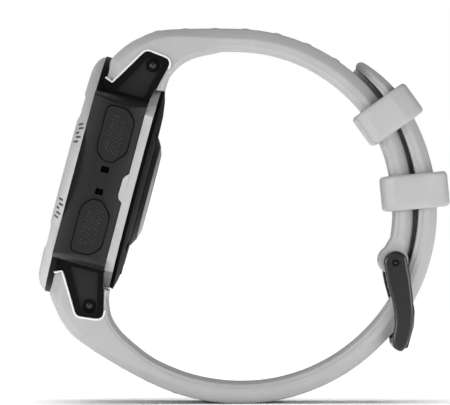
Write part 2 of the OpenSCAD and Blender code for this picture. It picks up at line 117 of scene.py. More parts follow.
# Straps. A start is x, z and heading, and each arc of a chain is its radius, its sweep and
# the thickness at both ends. A root's outer line runs from the chain's start to the case, and
# its inner line from where the chain is plain. The lower strap is built upside down.
STRAP_W = 19.6
SHOULDER_W = 25.4
TAPER = (-17.0, 6.0)
STATION_STEP = 1.6
HOLE_PITCH = 5.0
HOLE_LEN = 3.95
HOLE_W = 2.4
FIRST_HOLE = 43.9
HOLES = 12
UPPER_RIBS = (3.0, 7.7, 12.6, 17.6, 23.0, 28.3, 33.6)
LOWER_RIBS = [4.0 + 4.9 * k for k in range(8)]
RIDGE_FROM = 36
RIDGE_HALF_W = 4.5
UPPER_START = (-17.08, 29.07, 30.5)
UPPER_CHAIN = (
    (10, 27.5, 3.5, 3.5), (150, 4.5, 3.5, 3.4), (30.2, 41.6, 3.4, 3.35),
    (26.7, 38, 3.35, 3.1), (48, 7.2, 3.1, 3), (28, 18, 3, 3.1),
)
LOWER_START = (-30.48, 16.13, 66.5)
LOWER_CHAIN = (
    (11.2, 31.8, 3.5, 3.5), (88, 8.4, 3.5, 3.3), (33.9, 30.1, 3.3, 3.3), (32.2, 53.4, 3.3, 3.3),
    (31.4, 44.6, 3.3, 3), (34, 19.4, 3, 2.7), (21.3, 13.8, 2.7, 2.1), (26, 13, 2.1, 1.6),
)
UPPER_ROOT_OUT = (
    (-17.08, 29.07), (-18.1, 28.6), (-19.6, 27.6), (-20.9, 26.45), (-21.9, 25.4),
    (-22.05, 23.75), (-22.54, 22.1), (-21.3, 21.2),
)
UPPER_ROOT_IN = (
    (-3, 27), (-5.2, 26.85), (-7.3, 26.45), (-8.9, 25.9), (-10.6, 24.9), (-12.2, 23.2),
    (-12.8, 21.8), (-13.2, 20.4),
)
LOWER_ROOT_OUT = (
    (-30.48, 16.13), (-31.5, 13.85), (-31.85, 12.6), (-31.45, 11.4), (-31.04, 9.75),
    (-30.8, 8.7), (-29.2, 8.6),
)
LOWER_ROOT_IN = (
    (-10.6, 25.9), (-13, 24.9), (-15.3, 23.7), (-17.35, 22.2), (-20.35, 19.55),
    (-22.06, 16.9), (-22.5, 14.2), (-22.3, 12.4),
)
LUG_CLEAR = (
    (11, 4.5), (16.4, 3.25), (15.75, 1.77), (22.45, -2.25), (21.95, -6.7), (14.2, REAR_Z),
    (11, REAR_Z),
)
LUG_CLEAR_ROUND = (0, 0.3, 0.3, 0.7, 1.4, 0.3, 0)
LUG_CLEAR_Y = 9.8
LUG_FACE_Y = 12.9
LUG_PIN = (20.32, -3.9)
LUG_TIP = ((11.7, 0.5), (12.27, 0.5), (12.34, 0.42), (12.38, 0.28), (12.38, 0.05))
LIP_FROM = (16.4, 3.25)
LIP_TO = (14.5, -4.9)
LIP_GAP = 0.17
LIP = ((-0.15, 12.4), (-0.15, 12.74), (-0.07, 12.82), (0.07, 12.82), (0.15, 12.74), (0.15, 12.4))

# Buckle and keepers. ARM, CROSSBAR, TONGUE and KNUCKLE_AT are measured from the pin.
PIN = (24.84, -7.79)
PIN_R = 0.6
PIN_TIP = ((11.7, 0.2), (11.91, 0.2), (11.95, 0.15), (11.96, 0.05))
FRAME_INNER_W = 20.6
ARM_T = 1.7
# How far out each level of an arm is, and how far its outline is drawn in there
ARM_LEVELS = ((0, 0.2), (0.1, 0.06), (0.25, 0), (ARM_T - 0.5, 0), (ARM_T - 0.28, 0.07),
              (ARM_T - 0.13, 0.18), (ARM_T - 0.06, 0.3), (ARM_T, 0.44))
ARM = (
    (-1.8, -0.6), (-1.35, -3.5), (-0.65, -6), (-0.25, -8), (-0.15, -10), (-0.55, -12.3),
    (-0.5, -13.3), (0.05, -14.2), (0.65, -14.5), (1.15, -14.4), (1.75, -13.7), (2.45, -12),
    (2.75, -10.6), (2.95, -9), (2.95, -7.3), (2.75, -5), (2.35, -2), (1.9, -0.2),
)
EYE_R = 1.95
CROSSBAR = (0.35, -13.35)
CROSSBAR_R = 0.85
TONGUE = (
    (-0.8, -0.6), (-0.6, -3.8), (-0.05, -5.5), (2.2, -7.15), (2.5, -8.3), (2.3, -10.4),
    (1.45, -13.8), (1.75, -14.3), (2.3, -14.1), (3.25, -10.6), (3.42, -8.3), (3.3, -7.2),
    (2.75, -6.05), (0.75, -4.6), (0.4, -3.4), (0.8, -0.6),
)
TONGUE_W = 1.8
TONGUE_EYE_R = 1.3
TONGUE_SLOT_HALF_W = 1.25
TONGUE_SLOT_X = 4
TONGUE_SLOT_Z = (-3, 3.1)
KNUCKLE_AT = (-0.2, 0.35)
KNUCKLE_R = 2.35
KNUCKLE_NECK = ((24.5, -3.6), (26.35, -3.6), (26.3, -7.4), (22.5, -6.6), (23.4, -5.5))
# Each keeper's angle about KEEPER_CENTRE, and the radius where its opening begins
KEEPERS = ((35.5, 22.1), (5.5, 21.45))
KEEPER_CENTRE = (2.61, 1.45)
KEEPER_TOP = 29.6
KEEPER_LEN = 5.8
KEEPER_INNER_W = 20.3
KEEPER_SIDE_T = 1.5
KEEPER_OUT_T = 1.5
KEEPER_IN_T = 1.1
KEEPER_CORNER = 0.35
KEEPER_RIM = 0.75
KEEPER_INNER_RIM = 0.2
# Corners of a keeper's ring, from its flat inner wall out to its flat side and on to the top
KEEPER_FOOT = (
    (-1.7, 0), (-1.3, 0.06), (-0.95, 0.2), (-0.7, 0.45), (-0.5, 0.78), (-0.33, 1.13),
    (-0.17, 1.47), (-0.05, 1.72), (-0.01, 1.88), (0, 2),
)
KEEPER_HEAD = (
    (0, -3.35), (-0.02, -3.2), (-0.08, -3.02), (-0.42, -2.35), (-0.8, -1.6), (-1.1, -1.02),
    (-1.35, -0.62), (-1.7, -0.3), (-2.15, -0.09), (-2.7, 0),
)


# Outlines

def rounded(points, r, steps=4):
    """The closed outline with each corner turned into a curve that begins r before it."""
    points = [Vector(p) for p in points]
    cuts = r if isinstance(r, (list, tuple)) else [r] * len(points)
    out = []
    for i, corner in enumerate(points):
        before, after = points[i - 1], points[(i + 1) % len(points)]
        if cuts[i] == 0:
            out.append(corner)
            continue
        p = corner + (before - corner).normalized() * cuts[i]
        q = corner + (after - corner).normalized() * cuts[i]
        for k in range(steps + 1):
            t = k / steps
            out.append(p * (1 - t) ** 2 + corner * 2 * t * (1 - t) + q * t * t)
    return out


def grown(outline, by):
    """A closed outline moved outwards by a distance."""
    points = [Vector(p) for p in outline]
    area = sum(points[i - 1].cross(points[i]) for i in range(len(points)))
    sign = 1 if area > 0 else -1
    out = []
    for i, p in enumerate(points):
        along = (points[(i + 1) % len(points)] - points[i - 1]).normalized()
        out.append(p + Vector((along.y, -along.x)) * by * sign)
    return out


def smooth_line(points, count):
    """Evenly spaced points on a smooth curve through the given ones."""
    pts = [Vector(p) for p in points]
    ends = [2 * pts[0] - pts[1]] + pts + [2 * pts[-1] - pts[-2]]
    dense = []
    for i in range(1, len(ends) - 2):
        a, b, c, d = ends[i - 1:i + 3]
        for k in range(12):
            t = k / 12
            dense.append(0.5 * (2 * b + (c - a) * t + (2 * a - 5 * b + 4 * c - d) * t * t
                                + (3 * b - a - 3 * c + d) * t ** 3))
    dense.append(pts[-1])
    return evenly(dense, count)


def evenly(points, count):
    """The polyline cut again into evenly spaced points."""
    lengths = [0.0]
    for a, b in zip(points, points[1:]):
        lengths.append(lengths[-1] + (b - a).length)
    out, j = [], 0
    for k in range(count):
        s = lengths[-1] * k / (count - 1)
        while j < len(points) - 2 and lengths[j + 1] < s:
            j += 1
        span = lengths[j + 1] - lengths[j]
        out.append(points[j].lerp(points[j + 1], min(1, (s - lengths[j]) / span)))
    return out


def circle(x, z, r, count=48):
    """A closed outline of a circle."""
    return [Vector((x + r * math.cos(2 * math.pi * k / count),
                    z + r * math.sin(2 * math.pi * k / count))) for k in range(count)]


def slot_outline(length, width, by=0.0, count=10):
    """A slot with round ends, along x."""
    r, run = width / 2 + by, (length - width) / 2
    out = []
    for side in (1, -1):
        for k in range(count + 1):
            a = math.radians(-90 + 180 * k / count)
            out.append(Vector((side * (run + r * math.cos(a)), side * r * math.sin(a))))
    return out


# Meshes

def new_object(name, verts, faces, place=None):
    """A piece from points in millimetres, with its normals facing out."""
    mesh = bpy.data.meshes.new(name)
    mesh.from_pydata([tuple(Vector(v) * MM) for v in verts], [], faces)
    if place is not None:
        mesh.transform(place)
    bm = bmesh.new()
    bm.from_mesh(mesh)
    bmesh.ops.recalc_face_normals(bm, faces=bm.faces)
    bm.to_mesh(mesh)
    bm.free()
    obj = bpy.data.objects.new(name, mesh)
    bpy.context.scene.collection.objects.link(obj)
    return obj


def loft_data(sections, closed=False):
    """Points and faces of a skin through closed sections with the same number of points."""
    n, count = len(sections[0]), len(sections)
    verts = [Vector(p) for s in sections for p in s]
    faces = []
    for i in range(count if closed else count - 1):
        a, b = i * n, ((i + 1) % count) * n
        for k in range(n):
            m = (k + 1) % n
            faces.append((a + k, a + m, b + m, b + k))
    if not closed:
        faces.append(tuple(range(n - 1, -1, -1)))
        faces.append(tuple((count - 1) * n + k for k in range(n)))
    return verts, faces


def loft(name, sections, closed=False, place=None):
    """A piece with a skin through closed sections."""
    verts, faces = loft_data(sections, closed)
    return new_object(name, verts, faces, place)


def prism(name, outline, y0, y1, place=None):
    """An outline of (x, z) made solid between two values of y."""
    return loft(name, [[(p[0], y, p[1]) for p in outline] for y in (y0, y1)], place=place)


def joined(parts):
    """Points and faces of several skins, in one list each."""
    verts, faces = [], []
    for v, f in parts:
        faces += [tuple(i + len(verts) for i in face) for face in f]
        verts += v
    return verts, faces


def plates(name, outlines, z0, z1, place=None):
    """Several outlines of (x, y), each made solid between two heights, in one piece."""
    parts = [loft_data([[(p[0], p[1], z) for p in outline] for z in (z0, z1)])
             for outline in outlines]
    return new_object(name, *joined(parts), place)


def lathe(name, profile, count=128, place=None):
    """A closed profile of (r, z) turned about z; points at r 0 become one point."""
    verts, rings = [], []
    for r, z in profile:
        if r == 0:
            rings.append([len(verts)] * count)
            verts.append((0, 0, z))
        else:
            rings.append(list(range(len(verts), len(verts) + count)))
            verts += [(r * math.cos(2 * math.pi * k / count),
                       r * math.sin(2 * math.pi * k / count), z) for k in range(count)]
    faces = []
    for i in range(len(rings)):
        a, b = rings[i - 1], rings[i]
        for k in range(count):
            m = (k + 1) % count
            face = tuple(dict.fromkeys((a[k], a[m], b[m], b[k])))
            if len(face) > 2:
                faces.append(face)
    return new_object(name, verts, faces, place)


def combined(obj, tools, operation):
    """Adds tools to a piece or takes them out of it for good, and deletes them."""
    for tool in tools:
        change = obj.modifiers.new("change", "BOOLEAN")
        change.operation = operation
        change.solver = "MANIFOLD"
        change.object = tool
    bpy.context.view_layer.update()
    graph = bpy.context.evaluated_depsgraph_get()
    mesh = bpy.data.meshes.new_from_object(obj.evaluated_get(graph))
    obj.modifiers.clear()
    obj.data = mesh
    for tool in tools:
        bpy.data.objects.remove(tool)
    return obj


def cut(obj, *tools):
    """Takes tools out of a piece."""
    return combined(obj, tools, "DIFFERENCE")


def add(obj, *tools):
    """Makes tools part of a piece."""
    return combined(obj, tools, "UNION")


def smooth(obj, angle=32):
    """Smooth shading that keeps the edges sharper than an angle."""
    obj.data.shade_smooth()
    obj.data.set_sharp_from_angle(angle=math.radians(angle))
    return obj


def soften(obj, width, segments=2, angle=35):
    """Rounds the sharp edges of a piece."""
    edge = obj.modifiers.new("edges", "BEVEL")
    edge.width = width * MM
    edge.segments = segments
    edge.limit_method = "ANGLE"
    edge.angle_limit = math.radians(angle)
    edge.harden_normals = True
    obj.data.shade_smooth()
    return obj


# Materials

def shader(name, colour, rough, spread=0.07, blotch=260, grain=5200, bump=0.35, depth=0.012,
           **sockets):
    """A moulded or machined finish: blotches of colour, a fine grain in gloss and relief."""
    mat = bpy.data.materials.new(name)
    mat.use_nodes = True
    tree = mat.node_tree
    bsdf = tree.nodes["Principled BSDF"]
    place = tree.nodes.new("ShaderNodeTexCoord")
    soft = tree.nodes.new("ShaderNodeTexNoise")
    soft.inputs["Scale"].default_value = blotch
    soft.inputs["Detail"].default_value = 5
    fine = tree.nodes.new("ShaderNodeTexNoise")
    fine.inputs["Scale"].default_value = grain
    fine.inputs["Detail"].default_value = 3
    tint = tree.nodes.new("ShaderNodeValToRGB")
    low, high = tint.color_ramp.elements
    low.position, high.position = 0.3, 0.7
    low.color = [c * (1 - spread) for c in colour] + [1]
    high.color = [min(1, c * (1 + spread)) for c in colour] + [1]
    gloss = tree.nodes.new("ShaderNodeMapRange")
    gloss.inputs["From Min"].default_value = 0.3
    gloss.inputs["From Max"].default_value = 0.7
    gloss.inputs["To Min"].default_value = max(0.02, rough - 0.07)
    gloss.inputs["To Max"].default_value = min(1, rough + 0.07)
    relief = tree.nodes.new("ShaderNodeBump")
    relief.inputs["Strength"].default_value = bump
    relief.inputs["Distance"].default_value = depth * MM
    link = tree.links.new
    link(place.outputs["Object"], soft.inputs["Vector"])
    link(place.outputs["Object"], fine.inputs["Vector"])
    link(soft.outputs["Fac"], tint.inputs["Fac"])
    link(tint.outputs["Color"], bsdf.inputs["Base Color"])
    link(fine.outputs["Fac"], gloss.inputs["Value"])
    link(gloss.outputs["Result"], bsdf.inputs["Roughness"])
    link(fine.outputs["Fac"], relief.inputs["Height"])
    link(relief.outputs["Normal"], bsdf.inputs["Normal"])
    for socket, value in sockets.items():
        bsdf.inputs[socket.replace("_", " ")].default_value = value
    return mat


def grey(level):
    """The linear colour of a grey given as 0 to 255 on screen."""
    c = level / 255
    return [c / 12.92 if c < 0.04045 else ((c + 0.055) / 1.055) ** 2.4] * 3


SILICONE = shader("silicone", grey(178), 0.44, spread=0.03, grain=7000, depth=0.02,
                  Sheen_Weight=0.08)
BEZEL_GREY = shader("bezel_grey", grey(184), 0.5, spread=0.05, grain=9000, depth=0.015)
HOUSING_BLACK = shader("housing_black", grey(22), 0.45, spread=0.15, grain=8000, bump=0.5,
                       Specular_IOR_Level=0.35)
CAP_BLACK = shader("cap_black", grey(21), 0.48, spread=0.12, grain=7000, bump=0.4,
                   Specular_IOR_Level=0.35)
COVER_BLACK = shader("cover_black", grey(18), 0.55, spread=0.12, grain=8000, bump=0.5,
                     Specular_IOR_Level=0.02)
GRIP = shader("grip_black", grey(50), 0.5, spread=0.12, grain=7000, bump=0.4)
# Near-white copy of the silicone for the bead round the lugs: its brightness is a painted highlight
LIP_PAINTED_HIGHLIGHT = shader("silicone_lip_painted_highlight", grey(240), 0.4, spread=0.02, grain=7000, depth=0.02)
DOME_EDGE = shader("dome_edge", grey(135), 0.3, spread=0.06, bump=0.1, Specular_IOR_Level=0.2)
BUCKLE_BLACK = shader("buckle_black", grey(34), 0.24, spread=0.1, grain=9000, bump=0.2,
                      depth=0.005)
STEEL = shader("steel", grey(175), 0.28, spread=0.1, grain=6000, bump=0.2, Metallic=1.0)
DARK_STEEL = shader("dark_steel", grey(70), 0.35, spread=0.15, grain=6000, bump=0.3,
                    Metallic=0.9)
GOLD = shader("gold_plate", (0.75, 0.52, 0.2), 0.25, spread=0.08, Metallic=1.0)
GLASS = shader("lens_glass", (0.93, 0.96, 0.95), 0.09, spread=0.01, bump=0.03, depth=0.002,
               Transmission_Weight=0.97, IOR=1.5)
SMOKED = shader("smoked_glass", grey(120), 0.12, spread=0.04, bump=0.03, depth=0.002,
                Transmission_Weight=0.7, IOR=1.5)
PANEL = shader("reflective_panel", (0.33, 0.36, 0.29), 0.35, spread=0.03, grain=12000,
               bump=0.15)
INK = shader("panel_ink", grey(28), 0.5, spread=0.1)
MARK = shader("printed_mark", grey(70), 0.6, spread=0.1)
LIGHT_INK = shader("light_ink", grey(200), 0.5, spread=0.05)
RING_BLACK = shader("ring_black", grey(26), 0.4, spread=0.15)
RIM_BLACK = shader("rim_black", grey(14), 0.5, spread=0.2, grain=8000, bump=0.2,
                   Specular_IOR_Level=0.08)
RUBBER = shader("seal_rubber", grey(30), 0.7, spread=0.1)
BOARD = shader("board_green", (0.02, 0.12, 0.05), 0.4, spread=0.2)
INNER = shader("inner_plastic", grey(60), 0.55, spread=0.1)
FOIL = shader("cell_foil", grey(180), 0.3, spread=0.06, Metallic=0.9)
FLEX = shader("flex_orange", (0.5, 0.22, 0.05), 0.35, spread=0.1)


def dress(obj, mat, body):
    """Gives a new piece its material and its body."""
    obj.data.materials.clear()
    obj.data.materials.append(mat)
    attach(obj, body)
    return obj


def second_finish(name, mat, chosen):
    """Gives the chosen faces of a CAD part another finish, by where they are in the case."""
    mesh = NODES[name].data
    mesh.materials.append(mat)
    back = CASE.inverted()
    for face in mesh.polygons:
        if chosen(back @ face.center / MM):
            face.material_index = len(mesh.materials) - 1


def dress_node(name, mat, edge=0.0, segments=2):
    """Gives a CAD part its material and rounds its edges a little."""
    obj = NODES[name]
    obj.data.materials.clear()
    obj.data.materials.append(mat)
    if "custom_normal" in obj.data.attributes:
        obj.data.attributes.remove(obj.data.attributes["custom_normal"])
    weld = obj.modifiers.new("weld", "WELD")
    weld.merge_threshold = WELD * MM
    if edge:
        soften(obj, edge, segments, angle=30)
    else:
        obj.data.shade_smooth()
        obj.data.set_sharp_from_angle(angle=math.radians(30))
    return obj


# Straps

def chain_stations(start, pieces, step=2.0):
    """Stations along a chain of arcs, as (x, z, heading, thickness, length so far)."""
    x, z, h = start
    done, out = 0.0, []

    def at(r, a, t):
        turn, back = math.radians(h), math.radians(h - a)
        return (x + r * (math.sin(turn) - math.sin(back)),
                z + r * (math.cos(back) - math.cos(turn)), h - a, t, done + r * math.radians(a))

    for r, sweep, t0, t1 in pieces:
        count = max(2, math.ceil(math.radians(sweep) * r / step))
        out += [at(r, sweep * k / count, t0 + (t1 - t0) * k / count) for k in range(count)]
        end = at(r, sweep, t1)
        x, z, h, _, done = end
    return out + [end]


def at_length(stations, s):
    """The station at a length along a chain."""
    for a, b in zip(stations, stations[1:]):
        if s <= b[4]:
            break
    f = (s - a[4]) / (b[4] - a[4])
    return [p + (q - p) * f for p, q in zip(a, b)]


def faces_of(station):
    """The outer and inner points of a station."""
    x, z, h, t = station[:4]
    a = math.radians(h)
    return Vector((x, z)), Vector((x + t * math.sin(a), z - t * math.cos(a)))


def half_width(x):
    """Half of a strap's width, which tapers away from the case."""
    f = min(1, max(0, (x - TAPER[0]) / (TAPER[1] - TAPER[0])))
    return (SHOULDER_W + (STRAP_W - SHOULDER_W) * f) / 2


def strap_section(outer, inner, half):
    """Section of a strap: a flat outer face, a bevel band, a flat side with a parting
    step, and a rounded inner edge."""
    depth = (inner - outer).length
    band = min(1.7, depth * 0.5)
    lean = min(1.5, half * 0.35)
    step, lip, r = min(0.12, depth * 0.05), min(0.8, depth * 0.26), min(0.5, depth * 0.16)
    side = [
        (half - lean - 0.45, 0), (half - lean, 0.07), (half - lean + 0.28, 0.27),
        (half - 0.16, band - 0.22), (half - 0.03, band - 0.03), (half, band + 0.14),
        (half, depth - lip), (half - step, depth - lip + 0.07), (half - step, depth - r - 0.02),
        (half - step - r * 0.29, depth - r * 0.29), (half - step - r, depth),
    ]
    loop = [(0, 0)] + side + [(0, depth)] + [(-y, d) for y, d in reversed(side)]
    across = (inner - outer) / depth
    return [(outer.x + across.x * d, y, outer.y + across.y * d) for y, d in loop]


def root_pairs(chain, root_out, root_in, count=44):
    """Pairs of outer and inner points from the case out to where the chain is plain."""
    start = Vector(root_in[0])
    join = min(range(len(chain)), key=lambda i: (faces_of(chain[i])[1] - start).length)
    outer = [faces_of(s)[0] for s in reversed(chain[:join + 1])]
    outer = evenly(outer + [Vector(p) for p in root_out[1:]], count)
    curve = [faces_of(chain[join])[1]] + [Vector(p) for p in root_in[1:]]
    inner = smooth_line(curve, count)
    return list(reversed(list(zip(outer, inner))))[:-1], join


def strap_loft(name, start, pieces, root_out, root_in, tip=False):
    """A strap as a skin through its root and its chain, and the chain's stations."""
    chain = chain_stations(start, pieces, STATION_STEP)
    pairs, join = root_pairs(chain, root_out, root_in)
    sections = [strap_section(o, i, half_width((o.x + i.x) / 2)) for o, i in pairs]
    total, r, nose = chain[-1][4], STRAP_W / 2, 0.9
    for s in chain[join:]:
        left = total - s[4]
        if tip and left < r:
            break
        o, i = faces_of(s)
        sections.append(strap_section(o, i, half_width((o.x + i.x) / 2)))
    if tip:
        for k in range(1, 29):
            left = r * (1 - math.sin(math.radians(90 * k / 28.6)))
            o, i = faces_of(at_length(chain, total - left))
            half = math.sqrt(max(0.3, r * r - (r - left) ** 2))
            if left < nose:
                shrink = 1 - math.sqrt(max(0.06, 1 - (1 - left / nose) ** 2))
                o, i = o.lerp(i, shrink / 2), i.lerp(o, shrink / 2)
            sections.append(strap_section(o, i, half))
    return loft(name, sections), chain


def case_tools():
    """What the case and its four lugs take out of a strap's root."""
    tools = [lathe("tool", [
        (0, 9), (RIM_ROOM_R, 9), (RIM_ROOM_R, 2.9), (WALL_ROOM_R, 2.9), (WALL_ROOM_R, REAR_Z),
        (COVER_ROOM_R, REAR_Z), (COVER_ROOM_R, -12), (0, -12)], place=CASE)]
    outline = rounded(LUG_CLEAR, LUG_CLEAR_ROUND)
    for end in (1, -1):
        for side in (1, -1):
            tools.append(loft("tool", [[(end * p[0], side * y, p[1]) for p in outline]
                                       for y in (LUG_CLEAR_Y, 16)], place=CASE))
    return tools


def strap_lips():
    """A small bead on the strap round each lug."""
    outline = rounded(LUG_CLEAR, LUG_CLEAR_ROUND)

    def nearest(point):
        return min(range(len(outline)), key=lambda i: (outline[i] - Vector(point)).length)

    line = grown(outline, LIP_GAP)
    path = [a.lerp(b, 0.02) for a, b in zip(line, line[1:])]
    path = path[1 + nearest(LIP_FROM):nearest(LIP_TO)]
    parts = []
    for end in (1, -1):
        for side in (1, -1):
            sections = []
            for i, p in enumerate(path):
                ahead, behind = path[min(i + 1, len(path) - 1)], path[max(i - 1, 0)]
                along = (ahead - behind).normalized()
                out = Vector((along.y, -along.x))
                sections.append([(end * (p.x + out.x * d), side * y, p.y + out.y * d)
                                 for d, y in LIP])
            parts.append(loft_data(sections))
    return smooth(new_object("strap_lips", *joined(parts), CASE), 50)


def on_face(station, lift=0.0):
    """Placing with x along the strap and z out of its outer face, in millimetres."""
    x, z, h = station[:3]
    turn = Matrix.Rotation(math.radians(-h), 4, "Y")
    return Matrix.Translation((x, 0, z)) @ turn @ Matrix.Translation((0, 0, lift))


def placed(matrix, sections):
    """Sections moved by a placing in millimetres."""
    return [[matrix @ Vector(p) for p in s] for s in sections]


def hole_tool(station):
    """A through slot with a chamfered mouth on both faces."""
    t = station[3]
    # Height above the outer face, and how much the slot is grown there
    levels = ((1.5, 0.55), (0.02, 0.3), (-0.28, 0),
              (0.22 - t, 0), (-t - 0.02, 0.24), (-t - 1.5, 0.24))
    return loft("tool", placed(on_face(station), [
        [(p.x, p.y, z) for p in slot_outline(HOLE_LEN, HOLE_W, by)] for z, by in levels]))


def rib(station, width=11.0, length=1.3, height=0.2):
    """A low bar across the outer face."""
    levels = ((-0.5, 0), (height * 0.35, 0), (height * 0.85, -0.12), (height, -0.28))
    return loft("tool", placed(on_face(station), [
        [(p.y, p.x, z) for p in slot_outline(width, length, by)] for z, by in levels]))


def mirror_down(obj):
    """Turns a piece that was built upside down the right way up."""
    obj.data.transform(Matrix.Scale(-1, 4, (0, 0, 1)))
    obj.data.flip_normals()
    return obj


def lap_ridge(upper, lower):
    """A low band along the middle of the inner lap, on which the outer lap rests."""
    under = [Vector((q.x, -q.y)) for q in (faces_of(s)[1] for s in lower)]
    sections = []
    for s in upper:
        p, inner = faces_of(s)
        up = (p - inner).normalized()
        best = None
        for a, b in zip(under, under[1:]):
            d = b - a
            cross = up.x * d.y - up.y * d.x
            if abs(cross) < 1e-9:
                continue
            t = ((a.x - p.x) * d.y - (a.y - p.y) * d.x) / cross
            f = ((a.x - p.x) * up.y - (a.y - p.y) * up.x) / cross
            if 0 <= f <= 1 and 0.05 < t < 2 and (best is None or t < best):
                best = t
        if best is not None:
            top, low = p + up * (best - 0.08), p - up * 0.4
            w = RIDGE_HALF_W
            sections.append([(low.x, -w, low.y), (low.x, w, low.y), (top.x, w, top.y),
                             (top.x, -w, top.y)])
    return loft("tool", sections)


def upper_strap():
    """The short strap, with the knuckle that holds the buckle's pin."""
    strap, chain = strap_loft("strap_upper", UPPER_START, UPPER_CHAIN, UPPER_ROOT_OUT,
                              UPPER_ROOT_IN)
    half = STRAP_W / 2
    knuckle = prism("tool", circle(PIN[0] + KNUCKLE_AT[0], PIN[1] + KNUCKLE_AT[1], KNUCKLE_R),
                    -half, half)
    neck = prism("tool", rounded(KNUCKLE_NECK, 0.5), -half + 0.02, half - 0.02)
    ribs = [rib(at_length(chain, s)) for s in UPPER_RIBS]
    lower = chain_stations(LOWER_START, LOWER_CHAIN, 1)
    ridge = lap_ridge([c for c in chain if c[4] > RIDGE_FROM], lower)
    add(strap, knuckle, neck, ridge, *ribs)
    (x, z), (low, high) = PIN, TONGUE_SLOT_Z
    cut(strap, *case_tools(),
        prism("tool", circle(x, z, PIN_R + 0.05, 24), -14, 14),
        prism("tool", [(x - TONGUE_SLOT_X, z + low), (x + TONGUE_SLOT_X, z + low),
                       (x + TONGUE_SLOT_X, z + high), (x - TONGUE_SLOT_X, z + high)],
              -TONGUE_SLOT_HALF_W, TONGUE_SLOT_HALF_W))
    return smooth(strap)


def lower_strap():
    """The long strap, with its adjusting holes."""
    strap, chain = strap_loft("strap_lower", LOWER_START, LOWER_CHAIN, LOWER_ROOT_OUT,
                              LOWER_ROOT_IN, tip=True)
    ribs = [rib(at_length(chain, s)) for s in LOWER_RIBS]
    add(strap, *ribs)
    cut(strap, *[hole_tool(at_length(chain, FIRST_HOLE + HOLE_PITCH * k)) for k in range(HOLES)])
    mirror_down(strap)
    cut(strap, *case_tools())
    return smooth(strap)


# Keepers

def keeper_piece(name, angle, inner_face):
    """A ring of silicone with soft corners and rounded rims."""
    half = KEEPER_INNER_W / 2
    side, low, high = half + KEEPER_SIDE_T, inner_face - KEEPER_IN_T, KEEPER_TOP + KEEPER_OUT_T

    def frame_line(x, z0, z1, foot, head, run=4):
        right = [Vector((x + a, z0 + b)) for a, b in foot]
        right += [Vector((x + a, z1 + b)) for a, b in head]
        out = right + [Vector((-p.x, p.y)) for p in reversed(right)]
        full = []
        for i, p in enumerate(out):
            full.append(p)
            if (i + 1) % len(foot) == 0:
                q = out[(i + 1) % len(out)]
                full += [p.lerp(q, k / run) for k in range(1, run)]
        return full

    r = KEEPER_CORNER
    corner = [(r * math.sin(a) - r, r - r * math.cos(a))
              for a in (math.radians(10 * k) for k in range(10))]
    outer = frame_line(side, low, high, KEEPER_FOOT, KEEPER_HEAD)
    inner = frame_line(half, inner_face, KEEPER_TOP, corner, [(a, -b) for a, b in reversed(corner)])
    length, rim, small = KEEPER_LEN / 2, KEEPER_RIM, KEEPER_INNER_RIM
    turn = Matrix.Translation((KEEPER_CENTRE[0], 0, KEEPER_CENTRE[1])) @ Matrix.Rotation(
        math.radians(90 - angle), 4, "Y")
    sections = []
    for o, i in zip(outer, inner):
        wall = (o - i).length
        out = (o - i) / wall
        loop = []
        for sign, first in ((1, 0), (-1, 90)):
            for k in range(6):
                a = math.radians(first + 90 * k / 5)
                edge = min(rim, wall * 0.6)
                loop.append((sign * (length - rim) + rim * math.cos(a),
                             wall - edge + edge * math.sin(a)))
        for sign, first in ((-1, 180), (1, 270)):
            for k in range(3):
                a = math.radians(first + 90 * k / 2)
                loop.append((sign * (length - small) + small * math.cos(a),
                             small + small * math.sin(a)))
        sections.append([(x, i.x + out.x * d, i.y + out.y * d) for x, d in loop])
    return smooth(loft(name, placed(turn, sections), closed=True), 24)


# Buckle

def buckle_frame():
    """Two bevelled arms and the crossbar between them."""
    x, z = PIN
    arc = [Vector((EYE_R * math.cos(math.radians(a)), EYE_R * math.sin(math.radians(a))))
           for a in range(-4, 199, 10)]
    spans = [(Vector(b) - Vector(a)).length for a, b in zip(ARM, ARM[1:])]
    cuts = [0] + [min(0.5, 0.45 * a, 0.45 * b) for a, b in zip(spans, spans[1:])] + [0]
    arm = arc + [Vector(p) for p in rounded(ARM, cuts, 3)[1:-1]]
    arm = [Vector((x + p.x, z + p.y)) for p in arm]
    inner = FRAME_INNER_W / 2
    pieces = []
    for side in (1, -1):
        pieces.append(loft("tool", [[(p.x, side * (inner + y), p.y) for p in grown(arm, -inset)]
                                    for y, inset in ARM_LEVELS]))
    bar = prism("buckle", circle(x + CROSSBAR[0], z + CROSSBAR[1], CROSSBAR_R, 32),
                -inner - 0.1, inner + 0.1)
    add(bar, *pieces)
    cut(bar, prism("tool", circle(x, z, PIN_R, 32), -15, 15))
    return smooth(bar, 20)


def buckle_tongue():
    """The cranked tongue, with its eye on the pin."""
    x, z = PIN
    outline = [Vector((x + p.x, z + p.y)) for p in rounded(TONGUE, 0.25, 3)]
    tongue = prism("tongue", outline, -TONGUE_W / 2, TONGUE_W / 2)
    add(tongue, prism("tool", circle(x, z, TONGUE_EYE_R, 40), -TONGUE_W / 2, TONGUE_W / 2))
    cut(tongue, prism("tool", circle(x, z, PIN_R + 0.05, 32), -5, 5))
    return soften(tongue, 0.22, 3, angle=40)


# Case details

def inside(outline, p):
    """Whether a point lies in a convex or plain closed outline."""
    hit = False
    for i, b in enumerate(outline):
        a = outline[i - 1]
        if (a.y > p.y) != (b.y > p.y) and p.x < (b.x - a.x) * (p.y - a.y) / (b.y - a.y) + a.x:
            hit = not hit
    return hit


